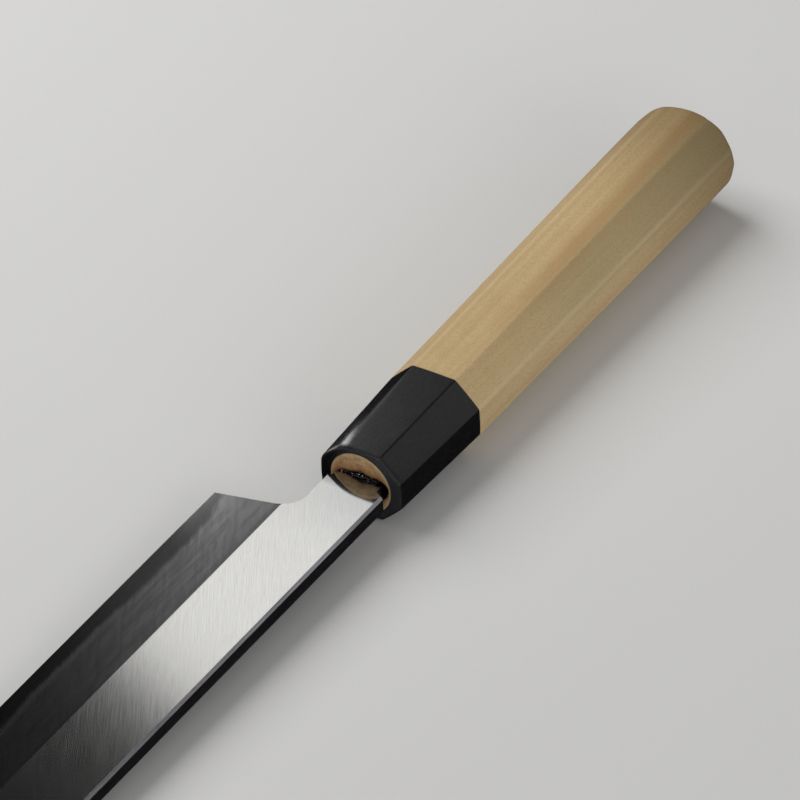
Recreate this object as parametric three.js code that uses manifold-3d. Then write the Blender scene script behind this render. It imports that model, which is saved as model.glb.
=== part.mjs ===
// A right-handed sashimi knife: a laminated single-bevel blade, its tang driven into an octagonal handle.
// Millimetres, +Z up. The knife lies with its bevelled side up: +X points to the tip and +Y to the spine.
// Pieces are drawn with x = 0 on the ferrule's front face and y = z = 0 on the handle's axis.

import * as THREE from "three";
import { mergeVertices } from "three/addons/utils/BufferGeometryUtils.js";
import Module from "manifold-3d";

const wasm = await Module();
wasm.setup();

// Handle, an octagon across Y (width) and Z (height)
const woodLength = 112;
const buttWidth = 25.4;
const buttHeight = 21.8;
const buttChamfer = 6.7;
const buttRounding = 2.8;
const jointWidth = 22.3;
const jointHeight = 18.3;
const jointChamfer = 5.8;

// Ferrule, from the joint with the wood to its front face
const ferruleLength = 30;
const frontWidth = 19.9;
const frontHeight = 16.5;
const frontChamfer = 5;
const frontRounding = 0.5;
const ferruleWall = 0.75;

// Blade seen from above
const bladeLength = 270;
const shoulderGap = 2.9;
const spineAboveAxis = 7.8;
const spineFall = 2.5;
const neckWidth = 14.15;
const notchRadius = 5;
const heelSetback = 12.75;
const heelHeight = 34.4;
const edgeRise = 1.3;
const bellyLength = 110;
const tipSweep = 50;

// Blade seen from its spine, and its grinds
const spineThickness = 3.8;
const spineThinning = 1;
const bladeDrop = 0.1;
const spineChamfer = 0.6;
const bevelWidth = 17.2;
const bevelNarrowing = 1.3;
const edgeLand = 0.12;
const steelThickness = 1.05;
const steelOverlap = 3;
const hollowDepth = 0.25;
const hollowMargin = 2;
const hollowRunOut = 14;

// Tang, and the burnt mouth of its slot
const tangLength = 102;
const spineShoulder = 2.1;
const edgeShoulder = 2.15;
const tangNarrowing = 4.4;
const tangThinning = 1.2;
const mouthDepth = 5;
const mouthAbove = 1.7;
const mouthBelow = 0.9;
const mouthBeyondSpine = 1.2;
const mouthBeyondEdge = 0.8;

// Clearances, how far cutting shapes reach past what they cut, and how finely round shapes are divided
const tenonClearance = 0.2;
const tangClearance = 0.3;
const resinClearance = 0.2;
const reach = 10;
const weldDistance = 1e-4;
const roundSides = 48;
const roundingSteps = 6;
const bellySteps = 20;
const hollowSteps = 8;

// Places worked out from the sizes above
const jointX = -ferruleLength;
const buttX = jointX - woodLength;
const shoulderX = shoulderGap;
const tipX = shoulderX + bladeLength;
const heelX = shoulderX + heelSetback;
const bellyX = tipX - bellyLength;
const tangEndX = shoulderX - tangLength;
const spineY = spineAboveAxis;
const neckY = spineY - neckWidth;
const heelY = spineY - heelHeight;
const tipY = spineY - spineFall;
const bellyY = heelY + edgeRise;
const tangSpineY = spineY - spineShoulder;
const tangEdgeY = neckY + edgeShoulder;
const backZ = -bladeDrop - spineThickness / 2;
const flatZ = backZ + spineThickness;
const laminationZ = backZ + steelThickness;
const tenonRadius = frontHeight / 2 - ferruleWall;

// Height of the blade's upper flat, which slopes down from the shoulder to the tip
function flatHeight(x) {
  return flatZ - (spineThinning * (x - shoulderX)) / bladeLength;
}

// A closed three.js geometry as a solid that can be joined and cut
function solid(geometry) {
  const bare = geometry.clone();
  bare.deleteAttribute("normal");
  bare.deleteAttribute("uv");
  const merged = mergeVertices(bare, weldDistance);
  const vertProperties = new Float32Array(merged.attributes.position.array);
  const triVerts = new Uint32Array(merged.index.array);
  return new wasm.Manifold(new wasm.Mesh({ numProp: 3, vertProperties, triVerts }));
}

// A named mesh from a solid
function meshOf(name, body, material) {
  const { vertProperties, triVerts } = body.getMesh();
  const geometry = new THREE.BufferGeometry();
  geometry.setAttribute("position", new THREE.BufferAttribute(vertProperties, 3));
  geometry.setIndex(new THREE.BufferAttribute(triVerts, 1));
  geometry.computeVertexNormals();
  const mesh = new THREE.Mesh(geometry, material);
  mesh.name = name;
  return mesh;
}

// A closed skin over convex rings of equal count, each turning left as seen from the last ring
function loft(rings) {
  const count = rings[0].length;
  const last = (rings.length - 1) * count;
  const indices = [];
  for (let ring = 0; ring + 1 < rings.length; ring += 1) {
    for (let side = 0; side < count; side += 1) {
      const a = ring * count + side;
      const b = ring * count + ((side + 1) % count);
      indices.push(a, b, b + count, a, b + count, a + count);
    }
  }
  for (let side = 1; side + 1 < count; side += 1) {
    indices.push(0, side + 1, side);
    indices.push(last, last + side, last + side + 1);
  }
  const geometry = new THREE.BufferGeometry().setFromPoints(rings.flat());
  geometry.setIndex(indices);
  return solid(geometry);
}

// A flat outline in X and Y, raised from one height to another
function raised(outline, low, high) {
  const geometry = new THREE.ExtrudeGeometry(outline, {
    depth: high - low,
    bevelEnabled: false,
    curveSegments: bellySteps,
  });
  return solid(geometry.translate(0, 0, low));
}

// A flat outline in X and Z, carried across Y
function carriedAcross(outline, low, high) {
  const geometry = new THREE.ExtrudeGeometry(outline, { depth: high - low, bevelEnabled: false });
  return solid(geometry.rotateX(Math.PI / 2).translate(0, high, 0));
}

// A flat outline in Y and Z, carried along X
function carriedAlong(outline, low, high) {
  const geometry = new THREE.ExtrudeGeometry(outline, { depth: high - low, bevelEnabled: false });
  const turn = new THREE.Matrix4().makeBasis(
    new THREE.Vector3(0, 1, 0),
    new THREE.Vector3(0, 0, 1),
    new THREE.Vector3(1, 0, 0),
  );
  return solid(geometry.applyMatrix4(turn).translate(low, 0, 0));
}

// A round bar along X
function bar(radius, low, high) {
  const geometry = new THREE.CylinderGeometry(radius, radius, high - low, roundSides);
  return solid(geometry.rotateZ(Math.PI / 2).translate((low + high) / 2, 0, 0));
}

function polygon(points) {
  return new THREE.Shape(points.map(([a, b]) => new THREE.Vector2(a, b)));
}

// One octagonal section of the handle, drawn in by an inset on all eight sides
function octagon(x, { width, height, chamfer }, inset) {
  const y = width / 2 - inset;
  const z = height / 2 - inset;
  const c = chamfer - inset * (2 - Math.SQRT2);
  const upper = [[y, z - c], [y - c, z], [c - y, z], [-y, z - c]];
  const lower = [[-y, c - z], [c - y, -z], [y - c, -z], [y, c - z]];
  const corners = [...upper, ...lower];
  return corners.map(([across, up]) => new THREE.Vector3(x, across, up));
}

// Sections round an end: the inset grows along a quarter circle, from the side to the end face
function roundedEnd(endX, inward, radius, section) {
  const rings = [];
  for (let step = 0; step <= roundingSteps; step += 1) {
    const angle = (step / roundingSteps) * (Math.PI / 2);
    const x = endX + inward * radius * (1 - Math.sin(angle));
    rings.push(octagon(x, section, radius * (1 - Math.cos(angle))));
  }
  return rings;
}

// The space of the tang, grown on every side: a plan and a side profile, crossed
function tangSpace(grow) {
  const narrow = tangNarrowing / 2;
  const thin = tangThinning / 2;
  const endX = tangEndX - grow;
  const plan = polygon([
    [endX, tangEdgeY + narrow - grow],
    [shoulderX, tangEdgeY - grow],
    [shoulderX, tangSpineY + grow],
    [endX, tangSpineY - narrow + grow],
  ]);
  const profile = polygon([
    [endX - reach, backZ + thin - grow],
    [shoulderX, backZ - grow],
    [shoulderX, flatZ + grow],
    [endX - reach, flatZ - thin + grow],
  ]);
  const side = carriedAcross(profile, neckY - reach, spineY + reach);
  return raised(plan, backZ - reach, flatZ + reach).intersect(side);
}

const butt = { width: buttWidth, height: buttHeight, chamfer: buttChamfer };
const joint = { width: jointWidth, height: jointHeight, chamfer: jointChamfer };
const front = { width: frontWidth, height: frontHeight, chamfer: frontChamfer };

// The mouth of the slot, charred wider than the tang on every side
const mouthLowY = tangEdgeY - mouthBeyondEdge;
const mouthHighY = tangSpineY + mouthBeyondSpine;
const mouthLowZ = backZ - mouthBelow;
const mouthHighZ = flatZ + mouthAbove;

function handle() {
  const wood = loft([...roundedEnd(buttX, 1, buttRounding, butt).reverse(), octagon(jointX, joint, 0)]);
  const tenon = bar(tenonRadius, jointX - reach, 0);
  const slot = tangSpace(tangClearance);
  const mouth = carriedAlong(
    polygon([
      [mouthLowY, mouthLowZ],
      [mouthHighY, mouthLowZ],
      [mouthHighY, flatZ],
      [tangSpineY, mouthHighZ],
      [mouthLowY, mouthHighZ],
    ]),
    -mouthDepth,
    reach,
  );
  return wood.add(tenon).subtract(slot).subtract(mouth);
}

function ferrule() {
  const horn = loft([octagon(jointX, joint, 0), ...roundedEnd(0, -1, frontRounding, front)]);
  return horn.subtract(bar(tenonRadius + tenonClearance, jointX - reach, reach));
}

// Charred resin that packs the mouth above, below and at the edge side of the tang
function tangResin() {
  const lowY = mouthLowY + resinClearance;
  const lowZ = mouthLowZ + resinClearance;
  const highZ = mouthHighZ - resinClearance;
  const packing = carriedAlong(
    polygon([[lowY, lowZ], [tangSpineY, lowZ], [tangSpineY, highZ], [lowY, highZ]]),
    resinClearance - mouthDepth,
    0,
  );
  return packing.subtract(tangSpace(resinClearance));
}

// The whole ground blade with its tang, before it is split into its two layers
const belly = new THREE.QuadraticBezierCurve(
  new THREE.Vector2(bellyX, bellyY),
  new THREE.Vector2(tipX - tipSweep, bellyY + (edgeRise * (bellyLength - tipSweep)) / (bellyX - heelX)),
  new THREE.Vector2(tipX, tipY),
);

function bladeOutline() {
  const narrow = tangNarrowing / 2;
  const outline = new THREE.Shape();
  outline.moveTo(tangEndX, tangSpineY - narrow);
  outline.lineTo(tangEndX, tangEdgeY + narrow);
  outline.lineTo(0, tangEdgeY);
  outline.lineTo(shoulderX, neckY);
  outline.lineTo(heelX - notchRadius, neckY);
  outline.absarc(heelX - notchRadius, neckY - notchRadius, notchRadius, Math.PI / 2, 0, true);
  outline.lineTo(heelX, heelY);
  outline.lineTo(bellyX, bellyY);
  outline.quadraticCurveTo(belly.v1.x, belly.v1.y, tipX, tipY);
  outline.lineTo(shoulderX, spineY);
  outline.lineTo(shoulderX, tangSpineY);
  return outline;
}

// Where the spine runs, falling from the shoulder to the tip
function spineAt(x) {
  return spineY - (spineFall * (x - shoulderX)) / bladeLength;
}

// What the narrow chamfer takes off the spine's upper edge: a wedge along it, from behind the shoulder
function chamferCutter() {
  const rings = [shoulderX - reach, tipX + reach].map((x) => {
    const y = spineAt(x);
    const z = flatHeight(x);
    return [
      new THREE.Vector3(x, y - spineChamfer - reach, z + reach),
      new THREE.Vector3(x, y + reach, z - spineChamfer - reach),
      new THREE.Vector3(x, y + reach, z + reach),
    ];
  });
  return loft(rings);
}

// What the bevel grinds away: a ruled surface from the edge up through the ridge line, and all above it.
// The bevel narrows up to the belly, so that the ridge runs along the handle's axis.
function bevelCutter() {
  const along = new THREE.Vector2(bellyX - heelX, bellyY - heelY).normalize();
  const behindHeel = new THREE.Vector2(heelX, heelY).addScaledVector(along, -notchRadius - reach / 2);
  const stations = [{ edge: behindHeel, tangent: along }];
  for (let step = 0; step <= bellySteps; step += 1) {
    stations.push({ edge: belly.getPoint(step / bellySteps), tangent: belly.getTangent(step / bellySteps) });
  }
  const tip = stations[stations.length - 1];
  stations.push({ edge: tip.edge.clone().addScaledVector(tip.tangent, reach), tangent: tip.tangent });
  const low = backZ + edgeLand;
  const rings = stations.map(({ edge, tangent }) => {
    const inward = new THREE.Vector2(-tangent.y, tangent.x);
    const width = bevelWidth - bevelNarrowing * Math.min(1, (edge.x - heelX) / (bellyX - heelX));
    const ridge = edge.clone().addScaledVector(inward, width);
    const slope = (flatHeight(ridge.x) - low) / width;
    const corner = (distance, z) => {
      const place = edge.clone().addScaledVector(inward, distance);
      return new THREE.Vector3(place.x, place.y, z);
    };
    const past = reach / 2;
    return [
      corner(-past, low - slope * past),
      corner(width + past, low + slope * (width + past)),
      corner(width + past, flatZ + reach),
      corner(-past, flatZ + reach),
    ];
  });
  return loft(rings);
}

// The shallow hollow ground into the back: arcs of one radius, between margins at the edge and the spine.
// It rises out of the flat back behind the heel, and ends near the tip, where the two margins meet.
function hollowCutter() {
  const halfAt = ({ x, y }) => (spineAt(x) - y) / 2 - hollowMargin;
  const behindHeel = new THREE.Vector2(heelX - steelOverlap, heelY);
  const pastHeel = new THREE.Vector2(heelX + hollowRunOut, heelY);
  const wideEnough = belly.getPoints(bellySteps).filter((place) => halfAt(place) > hollowMargin);
  const radius = halfAt(pastHeel) ** 2 / (2 * hollowDepth);
  const rings = [behindHeel, pastHeel, ...wideEnough].map((place) => {
    const middle = (place.y + spineAt(place.x)) / 2;
    const half = halfAt(place);
    const sink = place === behindHeel ? 2 * hollowDepth : 0;
    const across = half + hollowMargin;
    const ring = [];
    for (let step = 0; step <= hollowSteps; step += 1) {
      const offset = across * (1 - (2 * step) / hollowSteps);
      const depth = (half * half - offset * offset) / (2 * radius) - sink;
      ring.push(new THREE.Vector3(place.x, middle + offset, backZ + depth));
    }
    ring.push(new THREE.Vector3(place.x, middle - across, backZ - reach));
    ring.push(new THREE.Vector3(place.x, middle + across, backZ - reach));
    return ring;
  });
  return loft(rings);
}

function groundBlade() {
  const thin = tangThinning / 2;
  const profile = polygon([
    [tangEndX, backZ + thin],
    [shoulderX, backZ],
    [tipX + reach, backZ],
    [tipX + reach, flatHeight(tipX + reach)],
    [shoulderX, flatZ],
    [tangEndX, flatZ - thin],
  ]);
  const plate = raised(bladeOutline(), backZ - reach, flatZ + reach);
  const side = carriedAcross(profile, heelY - reach, spineY + reach);
  const ground = plate.intersect(side).subtract(chamferCutter());
  return ground.subtract(bevelCutter()).subtract(hollowCutter());
}

// Space taken by the hard layer: everything below the weld, from the neck to the tip
function steelSpace() {
  const startX = heelX - steelOverlap;
  const plan = polygon([
    [startX, heelY - reach],
    [tipX + reach, heelY - reach],
    [tipX + reach, spineY + reach],
    [startX, spineY + reach],
  ]);
  return raised(plan, backZ - reach, laminationZ);
}

const satinIron = new THREE.MeshStandardMaterial({ color: 0xc9c9c4, roughness: 0.32, metalness: 1 });
const hardSteel = new THREE.MeshStandardMaterial({ color: 0x8f9192, roughness: 0.25, metalness: 1 });
const blackHorn = new THREE.MeshStandardMaterial({ color: 0x131214, roughness: 0.22, metalness: 0 });
const paleWood = new THREE.MeshStandardMaterial({ color: 0xc7a877, roughness: 0.6, metalness: 0 });
const charredResin = new THREE.MeshStandardMaterial({ color: 0x0b0908, roughness: 0.35, metalness: 0 });

const blade = groundBlade();
const steel = steelSpace();
const pieces = new THREE.Group();
pieces.add(
  meshOf("blade_body", blade.subtract(steel), satinIron),
  meshOf("edge_steel", blade.intersect(steel), hardSteel),
  meshOf("ferrule", ferrule(), blackHorn),
  meshOf("handle", handle(), paleWood),
  meshOf("tang_resin", tangResin(), charredResin),
);

// The origin is under the middle of the knife, at the height of its lowest point
const box = new THREE.Box3().setFromObject(pieces);
const middle = box.getCenter(new THREE.Vector3());
pieces.position.set(-middle.x, -middle.y, -box.min.z);
const knife = new THREE.Group();
knife.name = "sashimi_knife";
knife.add(pieces);

export default knife;
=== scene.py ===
import math
import bmesh
import bpy
import numpy as np
from mathutils import Matrix, Vector


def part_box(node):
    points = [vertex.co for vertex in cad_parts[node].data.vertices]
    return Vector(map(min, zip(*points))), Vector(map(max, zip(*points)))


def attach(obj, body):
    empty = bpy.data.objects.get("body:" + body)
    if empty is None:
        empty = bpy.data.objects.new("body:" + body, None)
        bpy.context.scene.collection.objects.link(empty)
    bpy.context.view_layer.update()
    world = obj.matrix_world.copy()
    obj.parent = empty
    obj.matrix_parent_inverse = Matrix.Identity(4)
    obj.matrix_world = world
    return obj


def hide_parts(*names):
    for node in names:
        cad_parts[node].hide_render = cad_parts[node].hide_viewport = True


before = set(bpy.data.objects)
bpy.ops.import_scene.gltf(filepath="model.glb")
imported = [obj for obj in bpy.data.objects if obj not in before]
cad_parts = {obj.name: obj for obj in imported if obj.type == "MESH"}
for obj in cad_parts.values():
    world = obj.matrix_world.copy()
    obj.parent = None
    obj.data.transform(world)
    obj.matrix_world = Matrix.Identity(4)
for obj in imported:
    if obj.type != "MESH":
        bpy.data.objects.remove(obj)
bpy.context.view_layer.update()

# A sashimi knife lying with its bevelled side up, dressed round its solids.
# Drawing frame: millimetres, x = 0 on the ferrule's front face, y = z = 0 on the handle's axis,
# +X to the tip, +Y to the spine. axisStart moves it into the row frame.
mm = 0.001
mergeDistance = 1e-6  # metres, well under the smallest drawn step
ferruleLow, ferruleHigh = (np.array(corner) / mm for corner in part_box("ferrule"))
axisStart = np.array([ferruleHigh[0], *(ferruleLow + ferruleHigh)[1:] / 2])


def boxOf(node):
    low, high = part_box(node)
    return np.array(low) / mm - axisStart, np.array(high) / mm - axisStart


# Mesh making

def quadsOver(rows, columns, loop):
    # corners of a grid's quads: the columns always close on themselves, the rows only in a loop
    index = np.arange(rows * columns).reshape(rows, columns)
    here, there = (index, np.roll(index, -1, 0)) if loop else (index[:-1], index[1:])
    return np.stack([here, there, np.roll(there, -1, 1), np.roll(here, -1, 1)], -1).reshape(-1, 4)


def makePiece(name, rings, node, fields, loop=False, crease=28):
    # a closed skin over rings of points (rows, columns, 3); fields holds one value for each point, by name
    mesh = bpy.data.meshes.new(name)
    points = (rings.reshape(-1, 3) + axisStart) * mm
    mesh.from_pydata(points.tolist(), [], quadsOver(*rings.shape[:2], loop).tolist())
    for field, values in fields.items():
        mesh.attributes.new(field, "FLOAT", "POINT").data.foreach_set("value", values.astype(np.float32).ravel())
    shell = bmesh.new()
    shell.from_mesh(mesh)
    bmesh.ops.remove_doubles(shell, verts=shell.verts, dist=mergeDistance)
    bmesh.ops.dissolve_degenerate(shell, edges=shell.edges, dist=mergeDistance)
    bmesh.ops.recalc_face_normals(shell, faces=shell.faces)
    shell.to_mesh(mesh)
    shell.free()
    mesh.polygons.foreach_set("use_smooth", np.ones(len(mesh.polygons), bool))
    mesh.set_sharp_from_angle(angle=math.radians(crease))
    piece = bpy.data.objects.new(name, mesh)
    bpy.context.scene.collection.objects.link(piece)
    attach(piece, "root")
    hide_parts(node)
    print("made", name, len(mesh.polygons), "faces")
    return piece


def between(keys, counts):
    # rings through key points (stations, keys, values): straight runs from each key to the next one round
    runs = []
    for k, count in enumerate(counts):
        share = (np.arange(count) / count)[None, :, None]
        runs.append(keys[:, k, None] * (1 - share) + keys[:, (k + 1) % len(counts), None] * share)
    return np.concatenate(runs, 1)


def faceNormals(mesh):
    normals = np.empty(len(mesh.polygons) * 3, np.float32)
    mesh.polygons.foreach_get("normal", normals)
    return normals.reshape(-1, 3)


def dress(piece, materials, zone=None):
    # zone gives each face's place in the list of materials
    for material in materials:
        piece.data.materials.append(material)
    if zone is not None:
        piece.data.polygons.foreach_set("material_index", zone.astype(np.int32))


def planarUv(mesh, angle):
    # a flat map seen from above, in metres, whose u axis lies at an angle to the knife's axis
    points = np.empty(len(mesh.vertices) * 3, np.float32)
    corner = np.empty(len(mesh.loops), np.int32)
    mesh.vertices.foreach_get("co", points)
    mesh.loops.foreach_get("vertex_index", corner)
    x, y = points.reshape(-1, 3)[corner, :2].T
    a = math.radians(angle)
    flat = np.stack([x * math.cos(a) + y * math.sin(a), y * math.cos(a) - x * math.sin(a)], -1)
    mesh.uv_layers.new(name="brush").data.foreach_set("uv", flat.ravel())


# Blade

bladeShape = {
    "shoulder": 2.9,  # where the neck starts, in front of the ferrule
    "shoulderSlant": 0.9,
    "neckWidth": 14.15,
    "notchRadius": 5.0,
    "heelSetback": 12.75,
    "edgeRise": 1.3,
    "bellyLength": 110.0,
    "tipSweep": 50.0,
    "spineFall": 2.5,
    "thinning": 1.0,
    "spineChamfer": 0.6,
    "chamferEnd": 224.0,  # the chamfer runs out here, over the last stretch of its length
    "chamferFade": 60.0,
    "bevelWidth": 17.2,
    "bevelNarrowing": 1.3,
    "ridgeFlat": 0.1,  # half the width of the rubbed strip along the ridge
    "edgeLand": 0.12,
    "weldGap": 0.01,
    "weldFade": 8.0,  # how far inside the blade the wavy weld is flat again
    "heelDip": 0.38,  # the steel band is lower at the heel, and rises over this many millimetres
    "heelDipLength": 7.0,
    "bandWaves": ((0.15, 80.0, 37.0), (0.05, 23.0, 5.0), (0.022, 7.3, 2.0)),  # height, length, place of a crest
    "hollowDepth": 0.25,
    "hollowMargin": 2.0,
    "hollowRunOut": 14.0,
    "spineShoulder": 2.1,
    "edgeShoulder": 2.15,
    "tangNarrowing": 4.4,
    "tangThinning": 1.2,
    "straightSteps": 110,
    "bellySteps": 110,
    "notchSteps": 14,
    "brushAngle": 32.0,  # the flat's brush lines, against the knife's axis
}
shape = bladeShape
bodyLow, bodyHigh = boxOf("blade_body")
steelLow, steelHigh = boxOf("edge_steel")
tangEndX, spineY, flatZ, backZ = bodyLow[0], bodyHigh[1], bodyHigh[2], bodyLow[2]
steelStartX, tipX, heelY, weldZ = steelLow[0], steelHigh[0], steelLow[1], steelHigh[2]
shoulderX = shape["shoulder"]
heelX = shoulderX + shape["heelSetback"]
bladeLength = tipX - shoulderX
bellyX = tipX - shape["bellyLength"]
bellyY = heelY + shape["edgeRise"]
neckY = spineY - shape["neckWidth"]
notchX, notchY = heelX - shape["notchRadius"], neckY - shape["notchRadius"]
tangSpineY, tangEdgeY = spineY - shape["spineShoulder"], neckY + shape["edgeShoulder"]
edgeTopZ = backZ + shape["edgeLand"]
edgeTilt = shape["edgeRise"] / (bellyX - heelX)
spineTilt = shape["spineFall"] / bladeLength
bellyPoints = np.array([
    [bellyX, bellyY],
    [tipX - shape["tipSweep"], bellyY + edgeTilt * (shape["bellyLength"] - shape["tipSweep"])],
    [tipX, spineY - shape["spineFall"]],
])


def flatHeight(x):
    # the flat slopes down evenly from the shoulder to the tip
    return flatZ - shape["thinning"] * (x - shoulderX) / bladeLength


def spineAt(x):
    return spineY - spineTilt * (x - shoulderX)


def bandHeight(x):
    # height of the weld where it shows on the bevel: a sum of waves, with a dip at the heel
    height = np.full_like(x, weldZ - backZ)
    for tall, long, crest in shape["bandWaves"]:
        height += tall * np.cos(2 * np.pi * (x - crest) / long) * np.clip((tipX - x) / bladeLength, 0, 1)
    return height - shape["heelDip"] * np.exp(-(x - heelX) / shape["heelDipLength"])


def bladeStations(p):
    # p runs from 0 at the heel to 1 where the belly begins, a straight edge, and on to 2 at the tip, a parabola.
    # Each station looks from its edge point across the blade: along +Y at the heel, square to the edge on the belly.
    straight, t = np.clip(p, 0, 1)[:, None], np.clip(p - 1, 0, 1)[:, None]
    start, control, end = bellyPoints
    heel = np.array([heelX, heelY])
    onEdge = heel + (start - heel) * straight
    onBelly = (1 - t) ** 2 * start + 2 * t * (1 - t) * control + t ** 2 * end
    tangent = (1 - t) * (control - start) + t * (end - control)
    point = np.where(t > 0, onBelly, onEdge)
    angle = np.arctan2(tangent[:, 1], tangent[:, 0]) * straight[:, 0]
    inward = np.stack([-np.sin(angle), np.cos(angle)], -1)
    x, y = point.T
    high = (spineAt(x) - y) / (inward[:, 1] + spineTilt * inward[:, 0])
    width = shape["bevelWidth"] - shape["bevelNarrowing"] * np.minimum(1, (x - heelX) / (bellyX - heelX))
    slope = (flatHeight(x + inward[:, 0] * width) - edgeTopZ) / width
    band = (bandHeight(x) - shape["edgeLand"]) / slope
    left = (shape["chamferEnd"] - x - inward[:, 0] * high) / shape["chamferFade"]
    chamfer = shape["spineChamfer"] * np.clip(left, 0.05, 1)
    return {"point": point, "inward": inward, "high": high, "width": width, "slope": slope, "band": band,
            "chamfer": chamfer}


def topHeight(station, s):
    # the lowest of three planes: the bevel, the flat and the chamfer along the spine
    flat = flatHeight(station["point"][:, 0] + station["inward"][:, 0] * s)
    bevel = edgeTopZ + station["slope"] * s
    return np.minimum(np.minimum(bevel, flat), flat - station["chamfer"] + station["high"] - s)


def weldHeight(station, s):
    # level inside the blade, bending to the wavy border where it comes out on the bevel
    out = edgeTopZ + station["slope"] * station["band"]
    near = np.clip(1 - (s - station["band"]) / shape["weldFade"], 0, 1)
    return weldZ + (out - weldZ) * near


def keyAt(station, s, z):
    # a key point with its distances from the ridge, the steel band, the spine and the edge
    place = station["point"] + station["inward"] * s[:, None]
    away = [station["width"] - s, s - station["band"], station["high"] - s, s]
    return np.concatenate([place, np.stack([z, *away], -1)], -1)


bladeFields = ("fromRidge", "fromBand", "fromSpine", "fromEdge")
hiddenDistance = 20.0  # distances on the neck and tang, past every pattern of the bevel


def neckKeys(x, low, high, corners):
    # key points of a section of the neck or tang: corners are heights, and shares of the way from low to high
    keys = []
    for y, z in corners:
        away = [ridgeY - y, np.full_like(x, hiddenDistance), high - y, np.full_like(x, hiddenDistance)]
        keys.append(np.stack([x, y, z, *away], -1))
    return np.stack(keys, 1)


ridgeY = heelY + shape["bevelWidth"]
heelSlope = (flatHeight(heelX) - edgeTopZ) / shape["bevelWidth"]


def neckOutline():
    # stations from the tang's end to the heel: x, the edge side, the spine side, the top and the back
    narrow, thin, slant = shape["tangNarrowing"] / 2, shape["tangThinning"] / 2, shape["shoulderSlant"] / 2
    knots = [*np.linspace(tangEndX, 0, 12), shoulderX - slant, shoulderX, shoulderX + slant]
    arc = np.linspace(0, np.pi / 2, shape["notchSteps"])
    arc = np.sort(np.append(arc, np.arcsin((steelStartX - notchX) / shape["notchRadius"])))
    x = np.array([*knots, *(notchX + shape["notchRadius"] * np.sin(arc))])
    low = np.interp(x, [tangEndX, 0, shoulderX], [tangEdgeY + narrow, tangEdgeY, neckY])
    low[len(knots):] = notchY + shape["notchRadius"] * np.cos(arc)
    highKnots = [tangEndX, shoulderX - slant, shoulderX + slant]
    high = np.interp(x, highKnots, [tangSpineY - narrow, tangSpineY, spineY])
    high = np.minimum(high, spineAt(x))
    top = np.where(x < shoulderX, np.interp(x, [tangEndX, shoulderX], [flatZ - thin, flatZ]), flatHeight(x))
    back = np.interp(x, [tangEndX, shoulderX], [backZ + thin, backZ])
    return x, low, high, top, back


def bladeBody():
    # the iron: tang, neck and blade down to the weld, closed at the tang's end and where the weld meets the spine
    x, low, high, top, back = neckOutline()
    steps = np.concatenate([np.nonzero(x <= steelStartX + 1e-6)[0], np.nonzero(x >= steelStartX - 1e-6)[0]])
    firstOverSteel = np.count_nonzero(x <= steelStartX + 1e-6)
    x, low, high, top, back = (a[steps] for a in (x, low, high, top, back))
    back[firstOverSteel:] = weldZ
    ridge, sliver = shape["ridgeFlat"], 0.02
    edgeLine = heelY + edgeTilt * (x - heelX)
    chamfer = np.clip((x - shoulderX) / shape["shoulderSlant"] + 0.5, 0, 1) * (shape["spineChamfer"] - sliver) + sliver

    def onTop(y):
        return np.minimum(top, edgeTopZ + heelSlope * (y - edgeLine))

    ridgeLow, ridgeHigh = np.maximum(low + sliver, ridgeY - ridge), np.maximum(low + 2 * sliver, ridgeY + ridge)
    neck = neckKeys(x, low, high, [
        (low, (onTop(low) + back) / 2), (low, onTop(low)), (ridgeLow, onTop(ridgeLow)), (ridgeHigh, onTop(ridgeHigh)),
        (high - chamfer, top), (high, top - chamfer), (high, back), (low, back),
    ])
    p = np.linspace(0, 2, shape["straightSteps"] + shape["bellySteps"])
    station = bladeStations(p)
    lastP = np.interp(0, (station["band"] - station["high"])[p > 1], p[p > 1])
    station = bladeStations(np.append(p[p < lastP], lastP))
    notchDrop = ridgeY - notchY
    width, high = station["width"], station["high"]
    inside = high - station["chamfer"]
    runs = [np.minimum(s, inside) for s in (station["band"], width - notchDrop, width - ridge, width + ridge, inside)]
    runs = [np.clip(s, station["band"], high) for s in (*runs, high)]
    keys = [keyAt(station, s, topHeight(station, s)) for s in runs]
    keys += [keyAt(station, s, weldHeight(station, s)) for s in (runs[5], runs[1])]
    rings = between(np.concatenate([neck, np.stack(keys, 1)]), [14, 2, 1, 12, 1, 2, 6, 6])
    tangCap = np.broadcast_to(rings[0].mean(0), rings[:1].shape)
    rings = np.concatenate([tangCap, rings])
    fields = dict(zip(bladeFields, np.moveaxis(rings[..., 3:], -1, 0)))
    return makePiece("bladeBody", rings[..., :3], "blade_body", fields, crease=4)


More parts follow.
